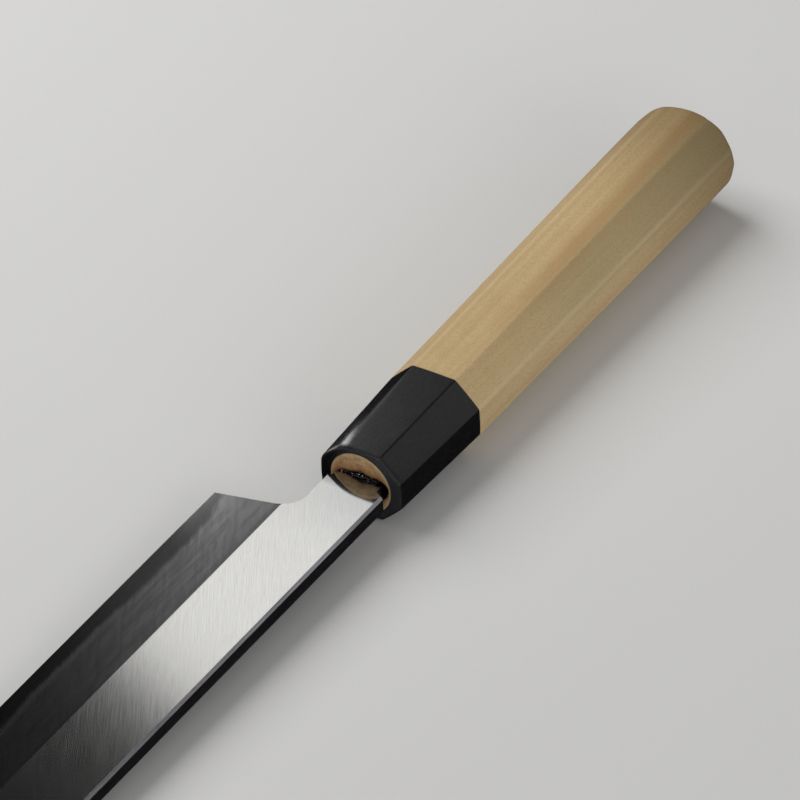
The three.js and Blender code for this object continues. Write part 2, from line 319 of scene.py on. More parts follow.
def edgeSteel():
    # the hard layer: its strip of the bevel, the weld, and the back with its shallow hollow
    x, low, high, top, back = (a[neckOutline()[0] >= steelStartX - 1e-6] for a in neckOutline())
    gap = shape["weldGap"]
    x = np.maximum(x, steelStartX + gap)
    weld = np.full_like(x, weldZ - gap)
    rise = [(low, back + (weld - back) * share) for share in (0.5, 0.75, 1)]
    neck = neckKeys(x, low, high, [*rise, (high, weld), (high, back), (low, back), (low, back + (weld - back) / 4)])
    p = np.linspace(0, 2, shape["straightSteps"] + shape["bellySteps"])
    station = bladeStations(p)
    none = np.zeros_like(p)
    runs = [none, station["band"], station["width"] - (ridgeY - notchY), station["high"]]
    runs = [np.clip(s, 0, station["high"]) for s in runs]
    keys = [keyAt(station, runs[0], none + edgeTopZ), keyAt(station, runs[1], topHeight(station, runs[1]))]
    for s in runs[2:]:
        keys.append(keyAt(station, s, np.minimum(weldHeight(station, s) - gap, topHeight(station, s))))
    keys += [keyAt(station, s, none + backZ) for s in (runs[3], runs[2], runs[0])]
    counts = [10, 4, 4, 2, 16, 10, 1]
    rings = between(np.concatenate([neck, np.stack(keys, 1)]), counts)
    # the hollow is an arc across the back, between its margins, that runs out behind the heel
    hollow = slice(sum(counts[:4]), sum(counts[:6]))
    alongX, across = rings[:, hollow, 0], rings[:, hollow, 6]
    whole = across + rings[:, hollow, 5]
    half = np.maximum(whole / 2 - shape["hollowMargin"], 0)
    fullHalf = (spineAt(heelX + shape["hollowRunOut"]) - heelY) / 2 - shape["hollowMargin"]
    arc = (half ** 2 - (across - whole / 2) ** 2) / fullHalf ** 2 * shape["hollowDepth"]
    runIn = np.clip(1 - (alongX - heelX) / shape["hollowRunOut"], 0, 1) * shape["hollowDepth"]
    ground = np.arange(len(rings)) >= len(neck)
    rings[:, hollow, 2] += np.maximum(arc - runIn, 0) * ground[:, None]
    startCap = np.broadcast_to(rings[0].mean(0), rings[:1].shape)
    rings = np.concatenate([startCap, rings])
    fields = dict(zip(bladeFields, np.moveaxis(rings[..., 3:], -1, 0)))
    return makePiece("edgeSteel", rings[..., :3], "edge_steel", fields, crease=4)


# Handle and ferrule

handleShape = {
    "buttChamfer": 6.7,
    "jointChamfer": 5.8,
    "buttRounding": (2.9, 2.1),  # of the butt's corners: along the handle, and drawn in from its sides
    "buttFacets": 0.45,  # the share of it at the middle of a facet
    "buttBlend": 3.2,  # how far from a corner it goes over to that
    # radii of the octagon's eight corners, from the one between its spine side and the facet above that
    "jointCorners": (0.3, 0.8, 1.1, 0.4, 0.4, 0.4, 0.4, 0.4),
    "sandedCorners": (0.6, 1.0, 1.6, 1.0, 1.0, 1.0, 1.0, 1.0),
    "buttCorner": 5.5,
    "buttCornerReach": 10.0,  # how far from the butt its round corners sharpen
    "crown": 0.09,  # how far the sanded facets bulge
    "jointEasing": 0.12,
    "tenonRadius": 7.5,
    "tenonEasing": 0.2,
    "mouthDepth": 5.0,
    "slotClearance": 0.3,
    # the charred mouth of the slot, seen from the front: y and z of its border
    "mouth": ((7.0, 1.0), (6.3, 1.9), (5.2, 2.5), (4.1, 2.75), (2.9, 2.5), (1.6, 2.7), (0.4, 3.15), (-0.8, 2.75),
              (-2.2, 2.4), (-3.6, 2.35), (-4.6, 2.15), (-5.3, 1.5), (-5.3, -1.2), (-4.6, -2.8), (0.0, -3.0),
              (4.6, -2.8), (6.3, -1.4), (6.9, -0.2)),
    "mouthCentre": (0.8, -0.2),
    "rings": 56,
}
ferruleShape = {
    "frontWidth": 19.9,
    "frontHeight": 16.5,
    "frontChamfer": 5.0,
    "frontCorners": (0.3, 0.9, 8.0, 3.0, 0.7, 0.5, 0.5, 0.5),
    "lip": 0.6,
    "crown": 0.1,
    "boreClearance": 0.06,
    "jointEasing": 0.1,
    "rings": 26,
}
arcSteps, facetSteps = 7, 9
sparedCorners = (0.0, 0.9, 0.1, 0.1, 0.2, 0.2, 0.2, 0.2)  # millimetres added to the distance from each corner
handleLow, handleHigh = boxOf("handle")
jointX, buttX = ferruleLow[0] - ferruleHigh[0], handleLow[0]
buttSize, jointSize = handleHigh - handleLow, ferruleHigh - ferruleLow
jointCorners, sandedCorners, frontCorners = (
    np.array(corners) for corners in
    (handleShape["jointCorners"], handleShape["sandedCorners"], ferruleShape["frontCorners"])
)


def octagonRing(width, height, chamfer, corners, crown, inset=0.0):
    # an arc on each corner, centred where an octagon drawn in by its radius has that corner,
    # and facets between the arcs that bulge like a parabola. Gives y, z and the distance from the middle
    # of the nearest corner, where corners that a hand rubs less, and on the wood get less painted highlight, count as
    # farther off.
    across = np.array([1, 1, -1, -1, -1, -1, 1, 1])
    upward = np.array([1, 1, 1, 1, -1, -1, -1, -1])
    onSide = np.array([1, 0, 0, 1, 1, 0, 0, 1])
    cut = chamfer - (inset + corners) * (2 - math.sqrt(2))
    y = across * (width / 2 - inset - corners - cut * (1 - onSide))
    z = upward * (height / 2 - inset - corners - cut * onSide)
    turn = np.radians(45) * (np.arange(8)[:, None] + np.linspace(0, 1, arcSteps))
    way = np.stack([np.cos(turn), np.sin(turn)], -1)
    arcs = np.stack([y, z], -1)[:, None] + corners[:, None, None] * way
    share = (np.arange(facetSteps) + 1)[None, :, None] / (facetSteps + 1)
    start, end = arcs[:, -1:], np.roll(arcs, -1, 0)[:, :1]
    facets = start * (1 - share) + end * share + way[:, -1:] * crown * 4 * share * (1 - share)
    long = np.linalg.norm(end - start, axis=-1)[..., None]
    halfArc, spared = (corners * np.radians(22.5))[:, None, None], np.array(sparedCorners)[:, None, None]
    onArc = np.abs(np.linspace(-1, 1, arcSteps))[None, :, None] * halfArc + spared
    fromStart, fromEnd = halfArc + spared + long * share, np.roll(halfArc + spared, -1, 0) + long * (1 - share)
    distance = np.concatenate([onArc, np.minimum(fromStart, fromEnd)], 1)
    return np.concatenate([np.concatenate([arcs, facets], 1), distance], -1).reshape(-1, 3)


def ringAt(x, section):
    # a section set across the handle, at one x or at an x for each of its points
    return np.concatenate([np.broadcast_to(x, len(section))[:, None], section[:, :2]], -1)


def circleLike(section, radius):
    # a circle whose points lie in the directions of a section's points
    angle = np.arctan2(section[:, 1], section[:, 0])
    return radius * np.stack([np.cos(angle), np.sin(angle)], -1)


def mouthRing(angle):
    # the mouth's border at these angles round its centre, smoothed between the drawn points
    centre = np.array(handleShape["mouthCentre"])
    drawn = np.array(handleShape["mouth"]) - centre
    drawnAngle, far = np.arctan2(drawn[:, 1], drawn[:, 0]), np.hypot(*drawn.T)
    order = np.argsort(drawnAngle)
    fine = np.linspace(-np.pi, np.pi, 361)[:-1]
    radius = np.interp(fine, drawnAngle[order], far[order], period=2 * np.pi)
    weight = np.array([1, 4, 8, 10, 8, 4, 1]) / 36
    radius = sum(w * np.roll(radius, k - 3) for k, w in enumerate(weight))
    reach = np.interp(angle, fine, radius, period=2 * np.pi)
    return centre + reach[:, None] * np.stack([np.cos(angle), np.sin(angle)], -1)


def slotRing(angle, x):
    # the rectangular slot of the tang at x, with its clearance
    share = (x - shoulderX) / (tangEndX - shoulderX)
    narrow, thin = shape["tangNarrowing"] / 2 * share, shape["tangThinning"] / 2 * share
    lowY, highY = tangEdgeY + narrow, tangSpineY - narrow
    lowZ, highZ = backZ + thin, flatZ - thin
    half = np.array([highY - lowY, highZ - lowZ]) / 2 + handleShape["slotClearance"]
    way = np.stack([np.cos(angle), np.sin(angle)], -1)
    reach = (half / np.maximum(np.abs(way), 1e-9)).min(-1)
    return np.array([lowY + highY, lowZ + highZ]) / 2 + way * reach[:, None]


def handleWood():
    # one skin: butt, octagonal body, step to the tenon, its end grain, the charred mouth and the slot of the tang
    style = handleShape
    rings, ends, char, corner = [], [], [], []

    def add(ring, end=0.0, charred=0.0, away=hiddenDistance):
        rings.append(ring)
        for values, value in ((ends, end), (char, charred), (corner, away)):
            values.append(np.broadcast_to(value, len(ring)))

    def section(x, inset=0.0):
        share = (x - buttX) / (jointX - buttX)
        width, height = buttSize[1:] + (jointSize - buttSize)[1:] * share
        chamfer = style["buttChamfer"] + (style["jointChamfer"] - style["buttChamfer"]) * share
        near = math.exp((buttX - x) / style["buttCornerReach"])
        radii = sandedCorners + (jointCorners - sandedCorners) * share ** 4 + (style["buttCorner"] - sandedCorners) * near
        return octagonRing(width, height, chamfer, radii, style["crown"], inset)

    along, drawnIn = style["buttRounding"]
    outer, inner = section(buttX + along), section(buttX + along, drawnIn)
    fromCorner = outer[:, 2]
    full = style["buttFacets"] + (1 - style["buttFacets"]) * np.exp(-(fromCorner / style["buttBlend"]) ** 2)
    buttEnd = outer + (inner - outer) * full[:, None]
    for share in (0, 0.3, 0.6, 0.85):
        add(ringAt(buttX, buttEnd * share), 1.0)
    for angle in np.linspace(np.pi / 2, 0, 12):
        ring = outer + (buttEnd - outer) * (1 - math.cos(angle))
        add(ringAt(buttX + along * full * (1 - math.sin(angle)), ring), math.sin(angle) ** 2, 0.0, fromCorner)
    easing = style["jointEasing"]
    for x in np.linspace(buttX + along, jointX - easing, style["rings"])[1:]:
        ring = section(x)
        add(ringAt(x, ring), 0.0, 0.0, ring[:, 2])
    ring = section(jointX, easing)
    add(ringAt(jointX, ring), 0.3, 0.0, ring[:, 2])
    radius = style["tenonRadius"]
    add(ringAt(jointX, circleLike(ring, radius)))
    for x in np.linspace(jointX, -style["tenonEasing"], 6)[1:]:
        add(ringAt(x, circleLike(ring, radius)), 0.4, 0.0, 0.0)
    rim = circleLike(ring, radius - style["tenonEasing"])
    angle = np.arctan2(ring[:, 1], ring[:, 0])
    mouth = mouthRing(angle)
    wide = np.linalg.norm(mouth - rim, axis=-1)
    for share in (0, 0.12, 0.25, 0.4, 0.55, 0.7, 0.85, 1):
        add(ringAt(0, rim * (1 - share) + mouth * share), 1.0, np.exp((share - 1) * wide / 0.45), share * wide)
    centre = np.array(style["mouthCentre"])
    for depth, shrink in ((0.3, 0.99), (1.5, 0.97), (style["mouthDepth"], 0.95)):
        add(ringAt(-depth, centre + (mouth - centre) * shrink), 0.0, 1.0)
    for x in np.linspace(-style["mouthDepth"], tangEndX, 8):
        add(ringAt(x, slotRing(angle, x)), 0.0, 1.0)
    slotEnd = rings[-1].mean(0) - [style["slotClearance"], 0, 0]
    add(np.broadcast_to(slotEnd, rings[-1].shape), 0.0, 1.0)
    fields = {"endGrain": np.array(ends), "charred": np.array(char), "fromCorner": np.array(corner)}
    return makePiece("handleWood", np.array(rings), "handle", fields, crease=32)


def ferruleHorn():
    # one closed band: outside from the joint to the lip, front face, bore and rear face
    style = ferruleShape
    front = np.array([style["frontWidth"], style["frontHeight"]])
    rings, corner, atFront = [], [], []

    def add(x, section, away=hiddenDistance, forward=0.0):
        rings.append(ringAt(x, section))
        corner.append(np.broadcast_to(away, len(section)))
        atFront.append(np.full(len(section), forward))

    def section(x, inset=0.0):
        share = (x - jointX) / -jointX
        width, height = jointSize[1:] + (front - jointSize[1:]) * share
        chamfer = handleShape["jointChamfer"] + (style["frontChamfer"] - handleShape["jointChamfer"]) * share
        radii = jointCorners + (frontCorners - jointCorners) * share
        return octagonRing(width, height, chamfer, radii, style["crown"], inset)

    ring = section(jointX, style["jointEasing"])
    add(jointX, ring, ring[:, 2])
    for x in np.linspace(jointX + style["jointEasing"], -style["lip"], style["rings"]):
        ring = section(x)
        add(x, ring, ring[:, 2])
    for angle in np.linspace(0, np.pi / 2, 9)[1:]:
        ring = section(0, style["lip"] * (1 - math.cos(angle)))
        add(style["lip"] * (math.sin(angle) - 1), ring, 0.0, math.sin(angle) ** 3)
    bore = circleLike(ring, handleShape["tenonRadius"] + style["boreClearance"])
    for share in (0.35, 0.7, 1):
        add(0, ring[:, :2] * (1 - share) + bore * share, hiddenDistance, 1.0)
    for x in np.linspace(0, jointX, 6)[1:]:
        add(x, bore)
    fields = {"fromCorner": np.array(corner), "atFront": np.array(atFront)}
    return makePiece("ferruleHorn", np.array(rings), "ferrule", fields, loop=True, crease=25)


# Charred resin in the mouth

resinShape = {
    "spineEnd": 4.3,  # where the packing stops, short of the tang's spine side
    "depth": 4.2,
    "front": 0.15,  # how far it stands out of the mouth
    "bulge": 0.7,  # and where it has run out over the blade
    "bulgeAt": -0.2,
    "bulgeWidth": 1.3,
    "above": 0.62,
    "beside": 0.4,
    "below": 0.5,
    "gap": 0.03,
    "cornerSpread": 0.35,  # how far a corner of its path is rounded
    "lumps": ((0.26, 2.3, 0.4), (0.26, 5.3, 1.7), (0.26, 9.1, 0.9), (0.2, 15.0, 2.2)),  # size, turns, phase
    "steps": 320,
    "sides": 48,
}


def tangResin():
    # a lumpy bead carried along the tang's upper side, round its edge side and back under it.
    # Its section is a flattened oval; the lumps are waves along and round the bead.
    style = resinShape
    gap, edgeY = style["gap"], tangEdgeY - style["gap"]
    topZ, lowZ = flatZ + gap, backZ - gap
    corners = np.array([[style["spineEnd"], topZ], [edgeY, topZ], [edgeY, lowZ], [style["spineEnd"], lowZ]])
    lengths = np.concatenate([[0], np.cumsum(np.linalg.norm(np.diff(corners, axis=0), axis=1))])
    along = np.linspace(0, lengths[-1], style["steps"])

    def onPath(place):
        return np.stack([np.interp(place, lengths, corners[:, k]) for k in (0, 1)], -1)

    way = onPath(along + style["cornerSpread"]) - onPath(along - style["cornerSpread"])
    way /= np.linalg.norm(way, axis=1)[:, None]
    out = np.stack([way[:, 1], -way[:, 0]], -1)
    side = np.clip((along - lengths[1]) / 0.6 + 0.5, 0, 1)
    under = np.clip((along - lengths[2]) / 0.6 + 0.5, 0, 1)
    thick = style["above"] * (1 - side) + style["beside"] * side * (1 - under) + style["below"] * under
    taper = np.clip(np.minimum(along, lengths[-1] - along) / 0.8, 0, 1)
    thick = thick * np.sqrt(1 - (1 - taper) ** 2)
    angle = np.linspace(0, 2 * np.pi, style["sides"], endpoint=False)
    lump = np.ones((style["steps"], style["sides"]))
    for size, turns, phase in style["lumps"]:
        wave = np.sin(2 * np.pi * turns * along / lengths[1] + phase)[:, None]
        lump += size * wave * np.sin(angle * 2 + 5 * phase + 0.3 * turns * along[:, None])
    path = onPath(along)
    bulge = style["bulge"] * np.exp(-((path[:, 0] - style["bulgeAt"]) / style["bulgeWidth"]) ** 2) * (1 - side)
    frontX = style["front"] + bulge * np.clip(taper * 2, 0, 1)
    middleX, halfX = (frontX - style["depth"]) / 2, (frontX + style["depth"]) / 2
    forward, outward = np.cos(angle), np.sin(angle)
    x = middleX[:, None] + halfX[:, None] * np.sign(forward) * np.abs(forward) ** 0.8
    x = np.where(forward > 0, x + 0.35 * (lump - 1), x)
    oval = np.sign(outward) * np.abs(outward) ** 0.7
    height = np.maximum(thick[:, None] * (0.5 + 0.5 * oval) * np.where(oval > 0, lump, 1), 0)
    rings = np.concatenate([x[..., None], path[:, None] + out[:, None] * height[..., None]], -1)
    start, end = (np.broadcast_to(rings[k].mean(0), rings[:1].shape) for k in (0, -1))
    return makePiece("tangResin", np.concatenate([start, rings, end]), "tang_resin", {}, crease=60)


# Node helpers

def addNode(tree, kind, sockets=None, **settings):
    # a shader node with its settings; a socket is given a value, or linked to another node's output
    node = tree.nodes.new("ShaderNode" + kind)
    for name, value in settings.items():
        setattr(node, name, value)
    for name, value in (sockets or {}).items():
        if isinstance(value, bpy.types.NodeSocket):
            tree.links.new(value, node.inputs[name])
        else:
            node.inputs[name].default_value = value
    return node


def calc(tree, operation, a, b=0.0):
    return addNode(tree, "Math", {0: a, 1: b}, operation=operation).outputs[0]


def ease(tree, value, start, end, low=0.0, high=1.0):
    # goes smoothly from low to high as the value goes from start to end
    sockets = {"Value": value, "From Min": start, "From Max": end, "To Min": low, "To Max": high}
    return addNode(tree, "MapRange", sockets, interpolation_type="SMOOTHSTEP").outputs[0]


def tint(tree, factor, a, b, mode="MIX"):
    # mixes two colours
    return addNode(tree, "Mix", {0: factor, 6: a, 7: b}, data_type="RGBA", blend_type=mode).outputs[2]


def field(tree, name):
    return addNode(tree, "Attribute", attribute_name=name).outputs["Fac"]


def placeIn(tree):
    # a place on the piece, in metres in the row frame
    return addNode(tree, "TexCoord").outputs["Object"]


def alongKnife(tree):
    # distance in front of the ferrule, in millimetres
    x = addNode(tree, "SeparateXYZ", {0: placeIn(tree)}).outputs[0]
    return calc(tree, "SUBTRACT", calc(tree, "MULTIPLY", x, 1 / mm), float(axisStart[0]))


def acrossKnife(tree):
    # distance from the handle's axis towards the spine, in millimetres
    y = addNode(tree, "SeparateXYZ", {0: placeIn(tree)}).outputs[1]
    return calc(tree, "SUBTRACT", calc(tree, "MULTIPLY", y, 1 / mm), float(axisStart[1]))


def rgb(red, green, blue):
    return (red, green, blue, 1.0)


def newGroup(name, inputs, outputs):
    group = bpy.data.node_groups.new(name, "ShaderNodeTree")
    for label, kind in inputs.items():
        group.interface.new_socket(label, in_out="INPUT", socket_type="NodeSocket" + kind)
    for label in outputs:
        group.interface.new_socket(label, in_out="OUTPUT", socket_type="NodeSocketFloat")
    given = group.nodes.new("NodeGroupInput").outputs
    result = group.nodes.new("NodeGroupOutput").inputs
    return group, given, result


def useGroup(tree, group, **values):
    node = addNode(tree, "Group", node_tree=group)
    for label, value in values.items():
        if isinstance(value, bpy.types.NodeSocket):
            tree.links.new(value, node.inputs[label])
        else:
            node.inputs[label].default_value = value
    return node.outputs


def streaksGroup():
    # streaks that run along the first axis: noise stretched by a streak's length and width, in metres
    group, given, result = newGroup("streaks", {"Place": "Vector", "Long": "Float", "Wide": "Float"}, ("Broad", "Fine"))
    long, wide = (calc(group, "DIVIDE", 1.0, given[label]) for label in ("Long", "Wide"))
    scale = addNode(group, "CombineXYZ", {"X": long, "Y": wide, "Z": wide}).outputs[0]
    place = addNode(group, "VectorMath", {0: given["Place"], 1: scale}, operation="MULTIPLY").outputs[0]
    for label, size, detail in (("Broad", 1.0, 2.0), ("Fine", 3.3, 3.0)):
        noise = addNode(group, "TexNoise", {"Vector": place, "Scale": size, "Detail": detail, "Roughness": 0.6})
        group.links.new(noise.outputs[0], result[label])
    return group


def rubbedGroup():
    # a mask that is whole on a corner and fades, unevenly, over a width in millimetres
    inputs = {"Place": "Vector", "Away": "Float", "Width": "Float", "Patch": "Float"}
    group, given, result = newGroup("rubbedEdge", inputs, ("Mask",))
    scale = calc(group, "DIVIDE", 1.0, given["Patch"])
    noise = addNode(group, "TexNoise", {"Vector": given["Place"], "Scale": scale, "Detail": 3.0}).outputs[0]
    away = calc(group, "MULTIPLY", given["Away"], calc(group, "ADD", 0.4, calc(group, "MULTIPLY", noise, 1.2)))
    group.links.new(ease(group, away, 0.0, given["Width"], 1.0, 0.0), result["Mask"])
    return group


def mottleGroup():
    # soft clouds, and small dots that come and go with them; both sizes in metres
    inputs = {"Place": "Vector", "Cloud": "Float", "Dot": "Float"}
    group, given, result = newGroup("mottle", inputs, ("Clouds", "Dots"))
    cloudScale, dotScale = (calc(group, "DIVIDE", 1.0, given[label]) for label in ("Cloud", "Dot"))
    clouds = addNode(group, "TexNoise", {"Vector": given["Place"], "Scale": cloudScale, "Detail": 4.0}).outputs[0]
    cells = addNode(group, "TexVoronoi", {"Vector": given["Place"], "Scale": dotScale})
    dots = ease(group, cells.outputs["Distance"], 0.12, 0.42, 1.0, 0.0)
    some = addNode(group, "SeparateColor", {0: cells.outputs["Color"]}).outputs[0]
    group.links.new(clouds, result["Clouds"])
    group.links.new(calc(group, "MULTIPLY", dots, ease(group, some, 0.35, 0.75)), result["Dots"])
    return group


streaks, rubbedEdge, mottle = streaksGroup(), rubbedGroup(), mottleGroup()


def weldGroup():
    # the border of iron and steel: the distance from the weld, in millimetres, is pushed to and fro by grinding
    # streaks; Iron goes softly from 0 in the steel to 1 in the iron, and Haze is a soft line just inside the iron
    inputs = {"Place": "Vector", "Away": "Float", "Ragged": "Float"}
    group, given, result = newGroup("weldBorder", inputs, ("Iron", "Haze"))
    strokes = useGroup(group, streaks, Place=given["Place"], Long=0.006, Wide=0.0006)["Broad"]
    push = calc(group, "MULTIPLY", calc(group, "SUBTRACT", strokes, 0.5), given["Ragged"])
    away = calc(group, "ADD", given["Away"], push)
    group.links.new(ease(group, away, -0.9, 1.0), result["Iron"])
    fromLine = calc(group, "ABSOLUTE", calc(group, "SUBTRACT", away, 0.5))
    group.links.new(ease(group, fromLine, 0.0, 1.5, 1.0, 0.0), result["Haze"])
    return group


weldBorder = weldGroup()


def newMaterial(name, **values):
    # a material whose shader has these plain values, by socket name
    material = bpy.data.materials.new(name)
    material.use_nodes = True
    shader = material.node_tree.nodes["Principled BSDF"]
    for label, value in values.items():
        shader.inputs[label].default_value = value
    return material, material.node_tree, shader.inputs


def bumpOf(tree, height, distance, strength=1.0, under=None):
    # a height from 0 to 1 over a distance in metres
    sockets = {"Strength": strength, "Distance": distance, "Height": height}
    if under:
        sockets["Normal"] = under
    return addNode(tree, "Bump", sockets).outputs[0]


# Materials

flatFinish = {
    "bright": rgb(0.86, 0.855, 0.83),
    "dull": rgb(0.72, 0.715, 0.69),
    "lineLength": 0.012,
    "lineWidth": 0.00024,
    "lineHeight": 2e-7,
    "roughness": (0.125, 0.15),
    "ridge": rgb(0.82, 0.815, 0.80),
    "ridgeWidth": 0.35,
    "stain": rgb(0.45, 0.455, 0.46),  # where the hot tang was driven home
    "blueing": rgb(0.43, 0.475, 0.525),  # and its middle, which the heat has tinted
    "stainFrom": 3.5,
    "stainTo": 6.5,
    "stainEnd": 26.0,  # its last trace
    "stainShine": -0.045,  # what it adds to the roughness
}


def satinFlat():
    # the brushed flat: slanting lines in its colour, gloss and height, and a brighter rubbed ridge
    style = flatFinish
    material, tree, shader = newMaterial("satinFlat", **{"Metallic": 1.0, "Anisotropic": 0.35, "Anisotropic Rotation": 0.25})
    brush = addNode(tree, "UVMap", uv_map="brush").outputs[0]
    tree.links.new(addNode(tree, "Tangent", direction_type="UV_MAP", uv_map="brush").outputs[0], shader["Tangent"])
    lines = useGroup(tree, streaks, Place=brush, Long=style["lineLength"], Wide=style["lineWidth"])
    stains = useGroup(tree, mottle, Place=placeIn(tree), Cloud=0.02, Dot=0.004)
    ridge = useGroup(tree, rubbedEdge, Place=placeIn(tree), Away=calc(tree, "ABSOLUTE", field(tree, "fromRidge")),
                     Width=style["ridgeWidth"], Patch=0.004)["Mask"]
    bright = ease(tree, calc(tree, "ADD", lines["Broad"], calc(tree, "MULTIPLY", lines["Fine"], 1.2)), 0.8, 1.4)
    colour = tint(tree, bright, style["dull"], style["bright"])
    colour = tint(tree, ease(tree, stains["Clouds"], 0.35, 0.7, 0.0, 0.12), colour, rgb(0.6, 0.585, 0.55))
    along = alongKnife(tree)
    stain = calc(tree, "MAXIMUM", ease(tree, along, style["stainFrom"], style["stainTo"], 1.0, 0.0),
                 ease(tree, along, style["stainFrom"], style["stainEnd"], 0.24, 0.0))
    heat = tint(tree, ease(tree, acrossKnife(tree), -4.5, -2.0), style["stain"], style["blueing"])
    colour = tint(tree, stain, colour, heat)
    tree.links.new(tint(tree, ridge, colour, style["ridge"]), shader["Base Color"])
    gloss = ease(tree, lines["Broad"], 0.3, 0.75, *style["roughness"])
    tree.links.new(calc(tree, "ADD", gloss, calc(tree, "MULTIPLY", stain, style["stainShine"])), shader["Roughness"])
    tree.links.new(bumpOf(tree, lines["Fine"], style["lineHeight"]), shader["Normal"])
    return material


bevelFinish = {
    "grey": rgb(0.47, 0.473, 0.47),
    "dark": rgb(0.345, 0.348, 0.345),
    "steel": rgb(0.18, 0.182, 0.18),
    "steelDark": rgb(0.15, 0.152, 0.15),
    "haze": rgb(0.68, 0.683, 0.68),
    "hazeFrom": 48.0,  # the haze along the weld comes in between these, in millimetres along the knife
    "hazeTo": 85.0,
    "ragged": 1.8,
    "ridgeShade": rgb(0.21, 0.21, 0.21),
    "shadeWidth": 2.2,
    "shadeLength": 45.0,  # how far from the heel the shade along the ridge lasts
    "edge": rgb(0.75, 0.75, 0.74),
    "edgeWidth": 0.22,
    "roughness": 0.215,
    "lineLength": 0.016,
    "lineWidth": 0.0012,
    "hatchLength": 0.009,
    "hatchWidth": 0.0009,
    "cloud": 0.02,
}


def groundBevel(name):
    # the ground bevel, the same for iron and steel: slanting and lengthwise streaks, dark steel below the weld,
    # cloudy grey iron above it, and a light haze along the weld away from the heel
    style = bevelFinish
    material, tree, shader = newMaterial(name, Metallic=1.0, Roughness=style["roughness"])
    place, brush = placeIn(tree), addNode(tree, "UVMap", uv_map="brush").outputs[0]
    lines = useGroup(tree, streaks, Place=place, Long=style["lineLength"], Wide=style["lineWidth"])
    hatch = useGroup(tree, streaks, Place=brush, Long=style["hatchLength"], Wide=style["hatchWidth"])
    clouds = useGroup(tree, mottle, Place=place, Cloud=style["cloud"], Dot=style["cloud"])
    mixed = calc(tree, "ADD", lines["Broad"], calc(tree, "ADD", hatch["Broad"], clouds["Clouds"]))
    light = ease(tree, mixed, 1.2, 1.8)
    weld = useGroup(tree, weldBorder, Place=brush, Away=field(tree, "fromBand"), Ragged=style["ragged"])
    iron, steel = tint(tree, light, style["dark"], style["grey"]), tint(tree, light, style["steelDark"], style["steel"])
    colour = tint(tree, weld["Iron"], steel, iron)
    along = ease(tree, alongKnife(tree), style["hazeFrom"], style["hazeTo"], 0.0, 0.85)
    return material, tree, shader, tint(tree, calc(tree, "MULTIPLY", weld["Haze"], along), colour, style["haze"])


def hazyBevel():
    # the bevel's iron, with a shade under the ridge near the heel
    style = bevelFinish
    material, tree, shader, colour = groundBevel("hazyBevel")
    near = ease(tree, alongKnife(tree), heelX, heelX + style["shadeLength"], 0.55, 0.0)
    shade = calc(tree, "MULTIPLY", ease(tree, field(tree, "fromRidge"), 0.6, style["shadeWidth"], 1.0, 0.0), near)
    tree.links.new(tint(tree, shade, colour, style["ridgeShade"]), shader["Base Color"])
    return material


def steelBand():
    # the bevel's hard steel, bright on the very edge
    style = bevelFinish
    material, tree, shader, colour = groundBevel("steelBand")
    edge = useGroup(tree, rubbedEdge, Place=placeIn(tree), Away=field(tree, "fromEdge"), Width=style["edgeWidth"],
                    Patch=0.002)["Mask"]
    tree.links.new(tint(tree, edge, colour, style["edge"]), shader["Base Color"])
    return material


sideFinish = {
    "bright": rgb(0.56, 0.555, 0.565),
    "dull": rgb(0.40, 0.40, 0.41),
    "roughness": (0.22, 0.38),
}


def groundSides():
    # spine, chamfer, neck and heel: ground along their length, a little stained
    style = sideFinish
    material, tree, shader = newMaterial("groundSides", Metallic=1.0)
    place = placeIn(tree)
    lines = useGroup(tree, streaks, Place=place, Long=0.015, Wide=0.00035)
    clouds = useGroup(tree, mottle, Place=place, Cloud=0.012, Dot=0.0012)
    bright = calc(tree, "ADD", lines["Fine"], calc(tree, "MULTIPLY", clouds["Clouds"], 0.7))
    colour = tint(tree, ease(tree, bright, 0.6, 1.15), style["dull"], style["bright"])
    colour = tint(tree, calc(tree, "MULTIPLY", clouds["Dots"], 0.3), colour, rgb(0.2, 0.19, 0.18))
    tree.links.new(colour, shader["Base Color"])
    tree.links.new(ease(tree, lines["Broad"], 0.3, 0.75, *style["roughness"]), shader["Roughness"])
    tree.links.new(bumpOf(tree, lines["Fine"], 2e-6), shader["Normal"])
    return material


backFinish = {
    "bright": rgb(0.72, 0.72, 0.71),
    "dull": rgb(0.55, 0.55, 0.545),
    "rim": rgb(0.85, 0.85, 0.84),
    "roughness": (0.16, 0.28),
    "rimWidth": 2.2,
}


def hollowBack():
    # the back: ground lengthwise in its hollow, with the polished rim that touches the stone
    style = backFinish
    material, tree, shader = newMaterial("hollowBack", Metallic=1.0)
    place = placeIn(tree)
    lines = useGroup(tree, streaks, Place=place, Long=0.03, Wide=0.0005)
    clouds = useGroup(tree, mottle, Place=place, Cloud=0.02, Dot=0.0015)
    bright = calc(tree, "ADD", lines["Broad"], calc(tree, "MULTIPLY", clouds["Clouds"], 0.5))
    colour = tint(tree, ease(tree, bright, 0.5, 1.0), style["dull"], style["bright"])
    away = calc(tree, "MINIMUM", field(tree, "fromEdge"), field(tree, "fromSpine"))
    rim = useGroup(tree, rubbedEdge, Place=place, Away=away, Width=style["rimWidth"], Patch=0.004)["Mask"]
    tree.links.new(tint(tree, rim, colour, style["rim"]), shader["Base Color"])
    tree.links.new(ease(tree, lines["Broad"], 0.3, 0.75, *style["roughness"]), shader["Roughness"])
    tree.links.new(bumpOf(tree, lines["Fine"], 3e-6), shader["Normal"])
    return material


